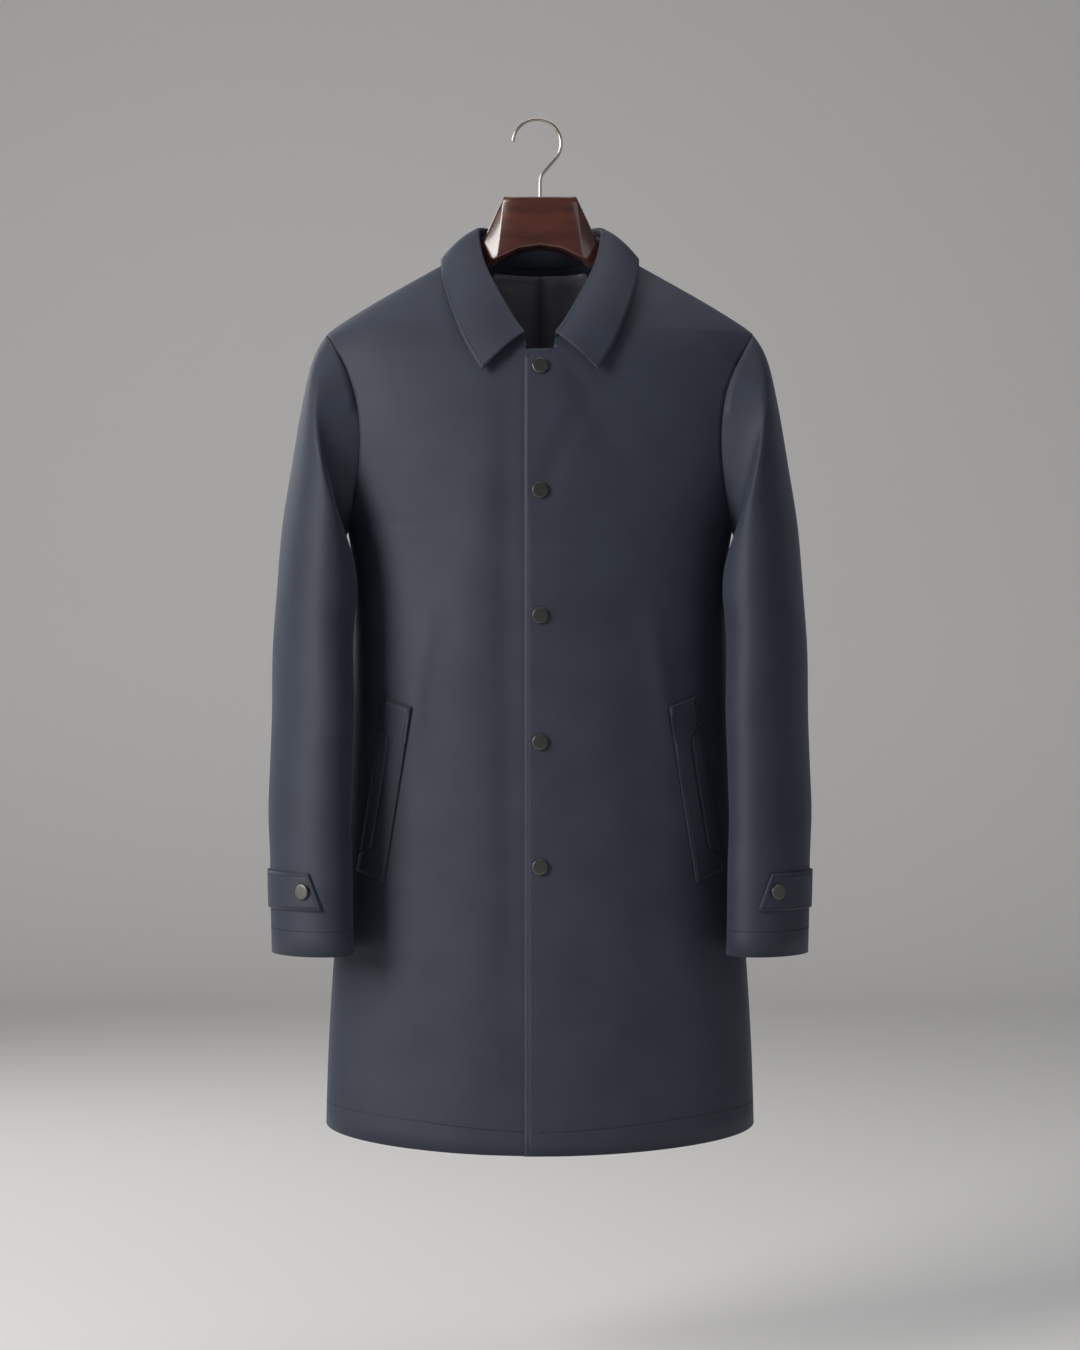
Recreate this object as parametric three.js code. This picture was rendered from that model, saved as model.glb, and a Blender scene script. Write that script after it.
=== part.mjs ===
// A single-breasted mac coat on its wooden hanger, in millimetres, +Z up.
// The front faces -Y and the wearer's left is +X. The origin is the underside of the hook,
// straight above its stem. Each piece of cloth is a thin closed sheet on one body form.
import * as THREE from 'three';

// Driving dimensions
const clothThickness = 1.6;
const collarThickness = 2;
const liningThickness = 1;
const trimThickness = 1.2;
const seamGap = 0.5;
const sleeveGap = 0.8;
const layerGap = 0.5;
const overlapWidth = 16.5; // the fronts run this far past the middle
const overlapLift = 2.5; // the upper front stands this far off the lower one
const neckStepZ = -255;
const shoulderPointZ = -137.3; // where shoulder seam and neckline meet
const hemSideZ = -1081;
const hemDrop = 17; // the front hem hangs this much lower than the sides
const armhole = { middleZ: -337, halfHeight: 107, halfDepth: 57 };
const snapRadius = 8.5;
const snapHeight = 2.8;
const snapZ = [-274, -405, -536, -668, -798];
const hookWire = 1.9; // radius
const degree = Math.PI / 180;

// Half-width at the side, and depth of front and back, at each height
const bodyForm = [
  { z: -136.5, side: 71, front: 6, back: 3 },
  { z: -138, side: 74, front: 8.5, back: 12 },
  { z: -140, side: 78, front: 11, back: 23 },
  { z: -144.5, side: 86, front: 15, back: 44 },
  { z: -150, side: 96, front: 19, back: 58 },
  { z: -152, side: 99.5, front: 20, back: 61.5 },
  { z: -160, side: 114, front: 24, back: 66 },
  { z: -175, side: 141, front: 35, back: 72 },
  { z: -189, side: 166, front: 46, back: 75 },
  { z: -200, side: 185, front: 53, back: 78 },
  { z: -215, side: 209, front: 61, back: 81 },
  { z: -230, side: 230, front: 69, back: 83 },
  { z: -255, side: 243, front: 79, back: 85.5 },
  { z: -290, side: 246, front: 87, back: 87.5 },
  { z: -340, side: 238, front: 95, back: 89 },
  { z: -400, side: 221, front: 100, back: 90 },
  { z: -450, side: 206, front: 102, back: 91 },
  { z: -500, side: 200, front: 103, back: 92 },
  { z: -600, side: 203, front: 104, back: 94 },
  { z: -700, side: 208, front: 105, back: 96 },
  { z: -800, side: 215, front: 107, back: 98.5 },
  { z: -900, side: 222.5, front: 110, back: 101 },
  { z: -1000, side: 228.6, front: 113, back: 103 },
  { z: -1060, side: 230.7, front: 115, back: 104 },
  { z: -1110, side: 231, front: 116, back: 105 },
];

// Soft folds of the panels: middle, half-length, half-width, height and lean (sideways per unit down)
const folds = [
  { face: 'front', x: -127, z: -605, length: 75, width: 16, height: 2.5, lean: -0.17 },
  { face: 'front', x: 127, z: -605, length: 75, width: 16, height: 2.5, lean: 0.17 },
  { face: 'front', x: -62, z: -760, length: 300, width: 34, height: 2.6, lean: -0.05 },
  { face: 'front', x: -30, z: -840, length: 280, width: 18, height: -2.4, lean: 0.01 },
  { face: 'front', x: 70, z: -800, length: 280, width: 36, height: 2.2, lean: 0.05 },
  { face: 'front', x: -105, z: -940, length: 150, width: 26, height: -2, lean: -0.1 },
  { face: 'front', x: 115, z: -960, length: 140, width: 28, height: -2, lean: 0.1 },
  { face: 'back', x: -60, z: -700, length: 330, width: 34, height: 3, lean: -0.08 },
  { face: 'back', x: 20, z: -820, length: 260, width: 30, height: -3, lean: 0.02 },
  { face: 'back', x: 85, z: -640, length: 300, width: 36, height: 2.6, lean: 0.1 },
  { face: 'back', x: -130, z: -900, length: 180, width: 28, height: -2.4, lean: -0.06 },
];

// Neck seam, roll line and outer edge of the collar, from the centre back round to the front end.
// Stations up to 4 lie on the back, and the rest on the front.
const neckStation = 4;
const endStation = 10;
const standEnd = 8; // the stand tapers away here
const collarLine = [
  { at: 0, seamX: 0, seamZ: -152, rollX: 0, rollY: 60, rollZ: -112, edgeX: 0, edgeY: 82, edgeZ: -172 },
  { at: 1, seamX: 27, seamZ: -151, rollX: 26, rollY: 56, rollZ: -111.5, edgeX: 38, edgeY: 79, edgeZ: -171 },
  { at: 2, seamX: 48, seamZ: -148, rollX: 47, rollY: 43, rollZ: -111, edgeX: 71, edgeY: 63, edgeZ: -163 },
  { at: 3, seamX: 64, seamZ: -142.5, rollX: 60.5, rollY: 22, rollZ: -111, edgeX: 95, edgeY: 36, edgeZ: -153 },
  { at: 4, seamX: 72.6, seamZ: -137.3, rollX: 66.5, rollY: 0, rollZ: -115, edgeX: 107, edgeY: 2, edgeZ: -147 },
  { at: 5, seamX: 69, seamZ: -150, rollX: 63, rollY: -20, rollZ: -140, edgeX: 106, edgeY: -24, edgeZ: -165 },
  { at: 6, seamX: 61, seamZ: -170, rollX: 57, rollY: -35, rollZ: -162, edgeX: 102, edgeY: -43, edgeZ: -185 },
  { at: 7, seamX: 52.5, seamZ: -186, rollX: 48, rollY: -48, rollZ: -181, edgeX: 96.5, edgeY: -57, edgeZ: -203 },
  { at: 8, seamX: 43, seamZ: -202, rollX: 38, rollY: -60, rollZ: -200, edgeX: 89.5, edgeY: -69.5, edgeZ: -222.5 },
  { at: 9, seamX: 30, seamZ: -222, rollX: 27, rollY: -71, rollZ: -220, edgeX: 78, edgeY: -81, edgeZ: -249 },
  { at: 10, seamX: 14.5, seamZ: -245.3, rollX: 15.6, rollY: -80, rollZ: -237, edgeX: 61.6, edgeY: -92, edgeZ: -278 },
];

// Rings of the left sleeve below the armhole: middle, half-width across, half-depth, tilt and yaw
const sleeveRings = [
  { x: 224, y: -2, z: -345, across: 103, deep: 62, tilt: 81, yaw: 0 },
  { x: 229, y: -5, z: -358, across: 95, deep: 67, tilt: 78.5, yaw: 0 },
  { x: 232.5, y: -9, z: -375.5, across: 83.5, deep: 71.5, tilt: 75, yaw: 5 },
  { x: 235.5, y: -14, z: -398.5, across: 70, deep: 75, tilt: 68.5, yaw: 10 },
  { x: 236, y: -19, z: -427.5, across: 53, deep: 78, tilt: 55.7, yaw: 16 },
  { x: 238, y: -26, z: -459, across: 44.5, deep: 80, tilt: 34, yaw: 16 },
  { x: 238.5, y: -33, z: -498, across: 41, deep: 80, tilt: 6, yaw: 16 },
  { x: 241, y: -42, z: -560, across: 40, deep: 77, tilt: 0, yaw: 18 },
  { x: 241.5, y: -50, z: -622, across: 40, deep: 74, tilt: 0, yaw: 22 },
  { x: 242.7, y: -56, z: -680, across: 39.5, deep: 70, tilt: 0, yaw: 25 },
  { x: 243, y: -61, z: -730, across: 39, deep: 66, tilt: 0, yaw: 27 },
  { x: 242, y: -69, z: -807, across: 39, deep: 61, tilt: 0, yaw: 30 },
  { x: 239, y: -78, z: -890, across: 39, deep: 57, tilt: 0, yaw: 32 },
];

// Cuff tab: heights, and the angles round the sleeve where it starts and ends
const cuffTab = { topZ: -804, bottomZ: -843, start: -78, topEnd: 51, bottomEnd: 68, snapAngle: 43, snapZ: -823 };

// Pocket on the front: its outer and inner edge at the top, the run down, and the cut-back opening
const pocket = {
  outer: { x: 164, z: -621 },
  inner: { x: 134.5, z: -631.5 },
  run: { x: 30, z: -185 },
  opening: { top: 0.16, bottom: 0.9, chamfer: 0.055, cut: 0.42 },
};

// Half of the hanger: top and bottom of each section, half-thickness and squareness of the section
const hangerSections = [
  { topX: 0, topZ: -84, bottomX: 0, bottomZ: -137, half: 20, square: 0.14 },
  { topX: 20, topZ: -84, bottomX: 23, bottomZ: -140.5, half: 20, square: 0.14 },
  { topX: 38.5, topZ: -84, bottomX: 44.5, bottomZ: -151, half: 20, square: 0.14 },
  { topX: 40, topZ: -86, bottomX: 47, bottomZ: -153, half: 19, square: 0.16 },
  { topX: 51, topZ: -108, bottomX: 58, bottomZ: -160, half: 14, square: 0.3 },
  { topX: 62, topZ: -131, bottomX: 69, bottomZ: -167, half: 9, square: 0.5 },
  { topX: 71, topZ: -148, bottomX: 77, bottomZ: -174, half: 7, square: 0.6 },
  { topX: 86, topZ: -157, bottomX: 89, bottomZ: -182, half: 8, square: 0.6 },
  { topX: 105, topZ: -166, bottomX: 106, bottomZ: -191, half: 11, square: 0.62 },
  { topX: 140, topZ: -185, bottomX: 138, bottomZ: -211, half: 15, square: 0.65 },
  { topX: 172, topZ: -201, bottomX: 168, bottomZ: -229, half: 19, square: 0.68 },
  { topX: 200, topZ: -219, bottomX: 195, bottomZ: -246, half: 20, square: 0.7 },
  { topX: 211, topZ: -228, bottomX: 207, bottomZ: -245, half: 16, square: 0.8 },
  { topX: 214, topZ: -233, bottomX: 211.5, bottomZ: -242, half: 8, square: 0.9 },
];

// A smooth curve through one column of a table, without overshoot
function column(table, key, name) {
  const ascending = table[0][key] < table[table.length - 1][key];
  const rows = ascending ? table : [...table].reverse();
  const slope = (i) => (rows[i + 1][name] - rows[i][name]) / (rows[i + 1][key] - rows[i][key]);
  const last = rows.length - 1;
  const tangents = rows.map((_, i) => {
    if (i === 0 || i === last) {
      return slope(Math.min(i, last - 1));
    }
    const before = slope(i - 1);
    const after = slope(i);
    return before * after <= 0 ? 0 : (2 * before * after) / (before + after);
  });
  return (value) => {
    const at = THREE.MathUtils.clamp(value, rows[0][key], rows[last][key]);
    const i = Math.min(last - 1, Math.max(0, rows.findIndex((row) => row[key] >= at) - 1));
    const span = rows[i + 1][key] - rows[i][key];
    const t = (at - rows[i][key]) / span;
    const u = 1 - t;
    const ends = rows[i][name] * u * u * (1 + 2 * t) + rows[i + 1][name] * t * t * (1 + 2 * u);
    return ends + span * t * u * (tangents[i] * u - tangents[i + 1] * t);
  };
}

const sideAt = column(bodyForm, 'z', 'side');
const frontAt = column(bodyForm, 'z', 'front');
const backAt = column(bodyForm, 'z', 'back');
const collarColumn = Object.fromEntries(
  Object.keys(collarLine[0]).map((name) => [name, column(collarLine, 'at', name)]),
);

function lerp(from, to, share) {
  return from + (to - from) * share;
}

function smoothStep(from, to, value) {
  return THREE.MathUtils.smoothstep(value, from, to);
}

function foldHeight(face, x, z) {
  let height = 0;
  for (const fold of folds) {
    if (fold.face === face) {
      const across = (x - fold.x - fold.lean * (fold.z - z)) / fold.width;
      const along = (z - fold.z) / fold.length;
      height += fold.height * Math.exp(-across * across) * Math.exp(-along * along * along * along);
    }
  }
  return height;
}

// The bare form: turn is 0 at the centre front, 90 degrees at the side and 180 at the centre back
function formPoint(turn, z) {
  const depth = Math.cos(turn) > 0 ? frontAt(z) : backAt(z);
  return new THREE.Vector3(sideAt(z) * Math.sin(turn), -depth * Math.cos(turn), z);
}

function formNormal(turn, z) {
  const step = 0.01;
  const around = formPoint(turn + step, z).sub(formPoint(turn - step, z));
  const down = formPoint(turn, z - 50 * step).sub(formPoint(turn, z + 50 * step));
  return down.cross(around).normalize();
}

// A point of a panel, moved off the form by lift and by the folds
function panelPoint(turn, z, lift) {
  const point = formPoint(turn, z);
  const face = Math.cos(turn) > 0 ? 'front' : 'back';
  const fade = Math.min(1, Math.abs(Math.cos(turn)) * 4);
  const height = foldHeight(face, point.x, z) * fade;
  return point.addScaledVector(formNormal(turn, z), height + lift);
}

// The turn of a panel point from its x
function turnOfX(x, z, face) {
  const turn = Math.asin(THREE.MathUtils.clamp(x / sideAt(z), -1, 1));
  return face === 'front' ? turn : Math.PI - turn;
}

// The turn of a seam that lies half a gap from the side plane
function seamTurn(z, face) {
  const depth = face === 'front' ? frontAt(z) : backAt(z);
  const turn = Math.acos(seamGap / 2 / depth);
  return face === 'front' ? turn : Math.PI - turn;
}

function armholeZ(angle) {
  return armhole.middleZ + armhole.halfHeight * Math.cos(angle * degree);
}

// The turn of the armhole's edge, by its angle down from the shoulder
function armholeTurn(angle, face) {
  const z = armholeZ(angle);
  const depth = face === 'front' ? frontAt(z) : backAt(z);
  const reach = Math.max(seamGap / 2, armhole.halfDepth * Math.sin(angle * degree));
  const turn = Math.acos(Math.min(1, reach / depth));
  return face === 'front' ? turn : Math.PI - turn;
}

function overlapAt(x, z) {
  return overlapLift * (1 - smoothStep(22, 70, x)) * (1 - smoothStep(neckStepZ + 2, neckStepZ + 22, z));
}

function hemZ(turn) {
  return hemSideZ - hemDrop * Math.max(0, Math.cos(turn)) ** 1.3 - 5 * Math.max(0, -Math.cos(turn));
}

// A closed mesh from two grids of points: the outer face, the inner face and the edges between
function sheetGeometry(outer, inner, around = false) {
  const rows = outer.length;
  const columns = outer[0].length;
  const positions = [...outer.flat(), ...inner.flat()].flatMap((point) => point.toArray());
  const index = [];
  const offset = rows * columns;
  const at = (i, j) => i * columns + (j % columns);
  const quad = (a, b, c, d) => index.push(a, b, c, a, c, d);
  const lastColumn = around ? columns : columns - 1;
  for (let i = 0; i < rows - 1; i += 1) {
    for (let j = 0; j < lastColumn; j += 1) {
      quad(at(i, j), at(i + 1, j), at(i + 1, j + 1), at(i, j + 1));
      quad(offset + at(i, j), offset + at(i, j + 1), offset + at(i + 1, j + 1), offset + at(i + 1, j));
    }
  }
  for (let j = 0; j < lastColumn; j += 1) {
    quad(at(0, j), at(0, j + 1), offset + at(0, j + 1), offset + at(0, j));
    quad(at(rows - 1, j), offset + at(rows - 1, j), offset + at(rows - 1, j + 1), at(rows - 1, j + 1));
  }
  for (let i = 0; i < rows - 1 && !around; i += 1) {
    quad(at(i, 0), offset + at(i, 0), offset + at(i + 1, 0), at(i + 1, 0));
    const end = columns - 1;
    quad(at(i, end), at(i + 1, end), offset + at(i + 1, end), offset + at(i, end));
  }
  return outward(positions, index);
}

// Turns a closed mesh so that its faces point out
function outward(positions, index) {
  const corner = (i) => new THREE.Vector3().fromArray(positions, 3 * i);
  let volume = 0;
  for (let i = 0; i < index.length; i += 3) {
    volume += corner(index[i]).dot(corner(index[i + 1]).cross(corner(index[i + 2])));
  }
  const geometry = new THREE.BufferGeometry();
  geometry.setAttribute('position', new THREE.Float32BufferAttribute(positions, 3));
  geometry.setIndex(volume > 0 ? index : [...index].reverse());
  geometry.computeVertexNormals();
  return geometry;
}

// Closed rings of points, joined and capped at both ends
function loftGeometry(rings) {
  const count = rings[0].length;
  const points = rings.flat();
  const index = [];
  for (let i = 0; i < rings.length - 1; i += 1) {
    for (let j = 0; j < count; j += 1) {
      const next = (j + 1) % count;
      const a = i * count;
      index.push(a + j, a + next, a + count + next, a + j, a + count + next, a + count + j);
    }
  }
  for (let j = 1; j < count - 1; j += 1) {
    const end = (rings.length - 1) * count;
    index.push(0, j + 1, j, end, end + j, end + j + 1);
  }
  return outward(points.flatMap((point) => point.toArray()), index);
}

function finish(color, roughness, metalness) {
  return () => new THREE.MeshStandardMaterial({ color, roughness, metalness });
}

const navyCloth = finish(0x2c3548, 0.75, 0);
const greyLining = finish(0x55545c, 0.4, 0);
const gunmetal = finish(0x3f403c, 0.35, 0.9);
const darkWood = finish(0x4f1e14, 0.25, 0);
const warmSteel = finish(0xa8998a, 0.25, 1);

const coat = new THREE.Group();

function addPiece(name, geometry, material) {
  const mesh = new THREE.Mesh(geometry, material());
  mesh.name = name;
  coat.add(mesh);
  return mesh;
}

// Mirrors rows of points to the wearer's right when side is -1
function onSide(rows, side) {
  return rows.map((row) => row.map((point) => new THREE.Vector3(point.x * side, point.y, point.z)));
}

// The fronts

const armholeAngles = [0, 10, 22, 31, 40, 55, 70, 85, 100, 115, 130, 145, 160, 172, 180];
const shoulderRows = [-139, -143, -149, -158, -170, -184, -198, -213, -223];
const skirtShares = [0.05, 0.11, 0.18, 0.26, 0.35, 0.45, 0.56, 0.67, 0.78, 0.89, 1];
const stepRows = [
  { z: neckStepZ - 0.4, x: -12 },
  { z: neckStepZ - 2, x: -15.2 },
  { z: neckStepZ - 6, x: -overlapWidth },
];
const frontColumns = 11;
const underarmZ = armholeZ(180);

// The station of a neck seam point on the front, by its height
function stationOfZ(z) {
  let low = neckStation;
  let high = endStation;
  for (let i = 0; i < 40; i += 1) {
    const middle = (low + high) / 2;
    if (collarColumn.seamZ(middle) > z) {
      low = middle;
    } else {
      high = middle;
    }
  }
  return (low + high) / 2;
}

function neckX(z) {
  return z < collarColumn.seamZ(endStation) ? collarColumn.seamX(endStation) : collarColumn.seamX(stationOfZ(z));
}

// The rows of a front, each with the turn of its centre edge and of its side edge
function frontRowList() {
  const rows = shoulderRows.map((z) => ({ z, edgeX: neckX(z), end: seamTurn(z, 'front') }));
  for (const angle of armholeAngles) {
    const z = armholeZ(angle);
    const edgeX = z > neckStepZ - 0.2 ? neckX(z) : -overlapWidth;
    rows.push({ z, edgeX, end: armholeTurn(angle, 'front') });
    if (angle === 40) {
      for (const step of stepRows) {
        const share = (armhole.middleZ - step.z) / armhole.halfHeight;
        const turn = armholeTurn(Math.acos(-share) / degree, 'front');
        rows.push({ z: step.z, edgeX: step.x, end: turn });
      }
    }
  }
  for (const share of skirtShares) {
    rows.push({ share, edgeX: -overlapWidth });
  }
  return rows;
}

function skirtZ(turn, share) {
  return lerp(underarmZ, hemZ(turn), share);
}

function frontGrid(side, lift) {
  return frontRowList().map((row) => {
    const nominal = row.z ?? lerp(underarmZ, hemZ(0), row.share);
    const start = turnOfX(row.edgeX, nominal, 'front');
    const end = row.end ?? seamTurn(nominal, 'front');
    return Array.from({ length: frontColumns + 1 }, (_, j) => {
      const turn = lerp(start, end, j / frontColumns);
      const z = row.z ?? skirtZ(turn, row.share);
      return frontPoint(turn, z, side, lift);
    });
  });
}

// A point of a front, on the wearer's left for side 1, with the folds of its own side
function frontPoint(turn, z, side, lift) {
  const bare = formPoint(turn, z);
  const raised = side === 1 ? overlapAt(bare.x, z) : 0;
  return panelPoint(turn * side, z, lift + raised);
}

for (const side of [1, -1]) {
  const geometry = sheetGeometry(frontGrid(side, 0), frontGrid(side, -clothThickness));
  addPiece(side === 1 ? 'front_left' : 'front_right', geometry, navyCloth);
}

// The back

const shoulderColumns = 5;
const blockRows = armholeAngles.indexOf(70);

// The upper edge of half of the back: neck stations, then the shoulder seam
function backTopEdge() {
  const edge = [];
  for (let at = 0; at < neckStation; at += 1) {
    const z = collarColumn.seamZ(at);
    edge.push({ z, turn: turnOfX(collarColumn.seamX(at), z, 'back') });
  }
  for (let j = 0; j <= shoulderColumns; j += 1) {
    const z = lerp(shoulderPointZ, armholeZ(0), (j / shoulderColumns) ** 1.1);
    edge.push({ z, turn: seamTurn(z, 'back') });
  }
  return edge;
}

function mirrored(half) {
  const other = half.slice(1).reverse().map((entry) => ({ ...entry, turn: 2 * Math.PI - entry.turn }));
  return [...other, ...half];
}

function backRowList() {
  const top = backTopEdge();
  const last = top.length - 1;
  const bottomZ = armholeZ(armholeAngles[blockRows]);
  const bottomTurn = armholeTurn(armholeAngles[blockRows], 'back');
  const rows = [];
  for (let i = 0; i <= blockRows; i += 1) {
    const sideZ = armholeZ(armholeAngles[i]);
    const sideTurn = armholeTurn(armholeAngles[i], 'back');
    const sideDrop = (sideZ - top[last].z) / (bottomZ - top[last].z);
    const sideShare = (sideTurn - top[last].turn) / (bottomTurn - top[last].turn);
    rows.push(top.map((entry, j) => {
      const reach = (j / last) ** 2;
      const drop = lerp(i / blockRows, sideDrop, reach);
      const share = lerp(i / blockRows, sideShare, reach);
      const below = lerp(Math.PI, bottomTurn, j / last);
      return { z: lerp(entry.z, bottomZ, drop), turn: lerp(entry.turn, below, share) };
    }));
  }
  const straight = (z, end) => top.map((_, j) => ({ z, turn: lerp(Math.PI, end, j / last) }));
  for (const angle of armholeAngles.slice(blockRows + 1)) {
    rows.push(straight(armholeZ(angle), armholeTurn(angle, 'back')));
  }
  for (const share of skirtShares) {
    const end = seamTurn(lerp(underarmZ, hemSideZ, share), 'back');
    rows.push(straight(0, end).map((entry) => ({ ...entry, z: skirtZ(entry.turn, share) })));
  }
  return rows.map(mirrored);
}

const backRows = backRowList();

function backGrid(lift) {
  return backRows.map((row) => row.map((entry) => panelPoint(entry.turn, entry.z, lift)));
}

addPiece('back', sheetGeometry(backGrid(0), backGrid(-clothThickness)), navyCloth);

// The lining of the upper back, in two halves that meet at a centre seam

const liningRows = blockRows;
const liningReach = 2; // columns from the centre
const liningDepth = clothThickness + 4.5;

function liningGrid(side, lift) {
  const middle = (backRows[0].length - 1) / 2;
  return backRows.slice(0, liningRows + 1).map((row, i) => {
    const points = Array.from({ length: liningReach + 1 }, (_, j) => {
      const entry = row[middle + side * j];
      const below = backRows[i + 1][middle + side * j];
      const start = i === 0 ? { z: lerp(entry.z, below.z, 0.2), turn: lerp(entry.turn, below.turn, 0.2) } : entry;
      const point = panelPoint(start.turn, start.z, -liningDepth - lift);
      point.x += j === 0 ? side * seamGap / 2 : 0;
      return point;
    });
    return side === 1 ? points : points.reverse();
  });
}

for (const side of [1, -1]) {
  const geometry = sheetGeometry(liningGrid(side, 0), liningGrid(side, liningThickness));
  addPiece(side === 1 ? 'lining_left' : 'lining_right', geometry, greyLining);
}

// The sleeves

const fullAngles = [...armholeAngles, ...armholeAngles.slice(1, -1).reverse().map((angle) => 360 - angle)];

// The armhole's edge on the panels, for an angle all the way round
function armholeEdge(angle, lift) {
  const face = angle <= 180 ? 'front' : 'back';
  const down = angle <= 180 ? angle : 360 - angle;
  return panelPoint(armholeTurn(down, face), armholeZ(down), lift);
}

// The first ring of a sleeve: the armhole's edge, moved into the armhole by the seam's gap
function sleeveHead(lift) {
  const edge = fullAngles.map((angle) => armholeEdge(angle, lift));
  const count = edge.length;
  const middle = edge.reduce((sum, point) => sum.add(point), new THREE.Vector3()).divideScalar(count);
  return edge.map((point, j) => {
    const along = edge[(j + 1) % count].clone().sub(edge[(j + count - 1) % count]).normalize();
    const normal = formNormal(Math.atan2(point.x / sideAt(point.z), -point.y / frontAt(point.z)), point.z);
    const into = along.cross(normal).normalize();
    if (into.dot(middle.clone().sub(point)) < 0) {
      into.negate();
    }
    return point.clone().addScaledVector(into, sleeveGap);
  });
}

const ringColumns = Object.fromEntries(
  Object.keys(sleeveRings[0]).map((name) => {
    return [name, column(sleeveRings.map((ring, i) => ({ ...ring, i })), 'i', name)];
  }),
);

// A point of the left sleeve, at a place along its rings and an angle round it
function sleevePoint(ring, angle, lift) {
  const value = (name) => ringColumns[name](ring);
  const yaw = value('yaw') * degree;
  const tilt = value('tilt') * degree;
  const across = new THREE.Vector3(
    Math.cos(yaw) * Math.cos(tilt),
    -Math.sin(yaw) * Math.cos(tilt),
    Math.sin(tilt),
  );
  const forward = new THREE.Vector3(-Math.sin(yaw), -Math.cos(yaw), 0);
  const cosine = Math.cos(angle * degree);
  const sine = Math.sin(angle * degree);
  const normal = across.clone().multiplyScalar(cosine * value('deep'));
  normal.addScaledVector(forward, sine * value('across')).normalize();
  const point = new THREE.Vector3(value('x'), value('y'), value('z'));
  point.addScaledVector(across, value('across') * cosine);
  point.addScaledVector(forward, value('deep') * sine);
  return point.addScaledVector(normal, lift);
}

function sleeveGrid(lift) {
  return [sleeveHead(lift), ...sleeveRings.map((_, i) => fullAngles.map((angle) => sleevePoint(i, angle, lift)))];
}

for (const side of [1, -1]) {
  const outer = onSide(sleeveGrid(0), side);
  const inner = onSide(sleeveGrid(-clothThickness), side);
  addPiece(side === 1 ? 'sleeve_left' : 'sleeve_right', sheetGeometry(outer, inner, true), navyCloth);
}

// The ring of the sleeve at a height of the forearm
function ringOfZ(z) {
  const i = sleeveRings.findIndex((ring) => ring.z <= z);
  return i - 1 + (sleeveRings[i - 1].z - z) / (sleeveRings[i - 1].z - sleeveRings[i].z);
}

// The cuff tabs

const tabColumns = 20;
const tabRows = 3;
const tabLift = layerGap + clothThickness;

function tabGrid(lift) {
  return Array.from({ length: tabRows + 1 }, (_, i) => {
    const down = i / tabRows;
    const ring = ringOfZ(lerp(cuffTab.topZ, cuffTab.bottomZ, down));
    const end = lerp(cuffTab.topEnd, cuffTab.bottomEnd, down);
    return Array.from({ length: tabColumns + 1 }, (__, j) => {
      return sleevePoint(ring, lerp(cuffTab.start, end, j / tabColumns), lift);
    });
  });
}

for (const side of [1, -1]) {
  const geometry = sheetGeometry(onSide(tabGrid(tabLift), side), onSide(tabGrid(layerGap), side));
  addPiece(side === 1 ? 'cuff_tab_left' : 'cuff_tab_right', geometry, navyCloth);
}

// The pockets

function pocketPoint(down, across, side, lift) {
  const x = lerp(pocket.outer.x, pocket.inner.x, across) + pocket.run.x * down;
  const z = lerp(pocket.outer.z, pocket.inner.z, across) + pocket.run.z * down;
  return frontPoint(turnOfX(x, z, 'front'), z, side, lift);
}

const opening = pocket.opening;
const weltRows = [
  { down: 0, from: 0 },
  { down: 0.08, from: 0 },
  { down: opening.top, from: 0 },
  { down: opening.top + opening.chamfer, from: opening.cut },
  ...[0.33, 0.45, 0.57, 0.69].map((down) => ({ down, from: opening.cut })),
  { down: opening.bottom - opening.chamfer, from: opening.cut },
  { down: opening.bottom, from: 0 },
  { down: 1, from: 0 },
];
const jetRows = [
  { down: opening.top + 0.02, to: 0.13 },
  { down: opening.top + opening.chamfer, to: opening.cut - 0.02 },
  ...[0.33, 0.45, 0.57, 0.69].map((down) => ({ down, to: opening.cut - 0.02 })),
  { down: opening.bottom - opening.chamfer, to: opening.cut - 0.02 },
  { down: opening.bottom - 0.02, to: 0.13 },
];
const weltColumns = 4;
const jetColumns = 2;

function weltGrid(side, lift) {
  return weltRows.map((row) => {
    return Array.from({ length: weltColumns + 1 }, (_, j) => {
      return pocketPoint(row.down, lerp(row.from, 1, j / weltColumns), side, lift);
    });
  });
}

function jetGrid(side, lift) {
  return jetRows.map((row) => {
    return Array.from({ length: jetColumns + 1 }, (_, j) => {
      return pocketPoint(row.down, row.to * j / jetColumns, side, lift);
    });
  });
}

for (const side of [1, -1]) {
  const name = side === 1 ? 'left' : 'right';
  const welt = sheetGeometry(weltGrid(side, layerGap + trimThickness), weltGrid(side, layerGap));
  addPiece(`pocket_welt_${name}`, welt, navyCloth);
  const jet = sheetGeometry(jetGrid(side, layerGap + 0.8), jetGrid(side, layerGap));
  addPiece(`pocket_jet_${name}`, jet, navyCloth);
}

// The collar and its stand, station by station round the neck

const rollRadius = 2.8;
const collarInside = 6; // how far the collar comes down inside the neck
const collarStations = [
  ...Array.from({ length: neckStation + 1 }, (_, at) => at),
  ...frontRowList().filter((row) => row.z >= collarColumn.seamZ(endStation) - 0.1).map((row) => stationOfZ(row.z)),
];

function linePoint(name, at) {
  return new THREE.Vector3(collarColumn[`${name}X`](at), collarColumn[`${name}Y`](at), collarColumn[`${name}Z`](at));
}

// The point of the neck seam on the panels
function seamPoint(at, side) {
  const face = at <= neckStation ? 'back' : 'front';
  const z = collarColumn.seamZ(at);
  const turn = turnOfX(collarColumn.seamX(at), z, face);
  const point = face === 'front' ? frontPoint(turn, z, side, 0) : panelPoint(turn, z, 0);
  return new THREE.Vector3(Math.abs(point.x), point.y, point.z);
}

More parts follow.
